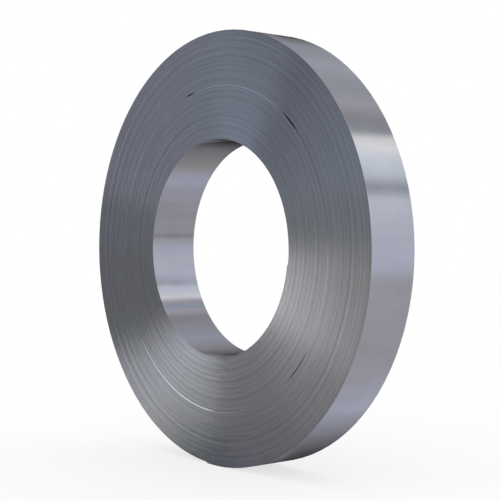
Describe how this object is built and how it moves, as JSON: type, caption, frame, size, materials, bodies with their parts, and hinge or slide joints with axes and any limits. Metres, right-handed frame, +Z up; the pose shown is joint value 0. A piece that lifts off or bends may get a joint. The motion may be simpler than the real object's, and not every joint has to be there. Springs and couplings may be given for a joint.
{
  "type": "steel strip coil",
  "caption": "Narrow coil of bright steel strip standing on its rim, wound tight around an open bore, with the edges of its laps showing as fine rings on both ends.",
  "frame": {"origin": "centre of the bore, on the axis halfway across the strip's width", "axes": "+Z up with the coil standing on its rim; the axis of the winding along Y; the front end, seen in the picture, faces -Y"},
  "size_m": [1.016, 0.129, 1.016],
  "materials": {
    "strip": "bright rolled strip, with slit edges duller than its faces"
  },
  "bodies": {
    "root": {"steel_strip_coil": "strip"}
  },
  "joints": []
}
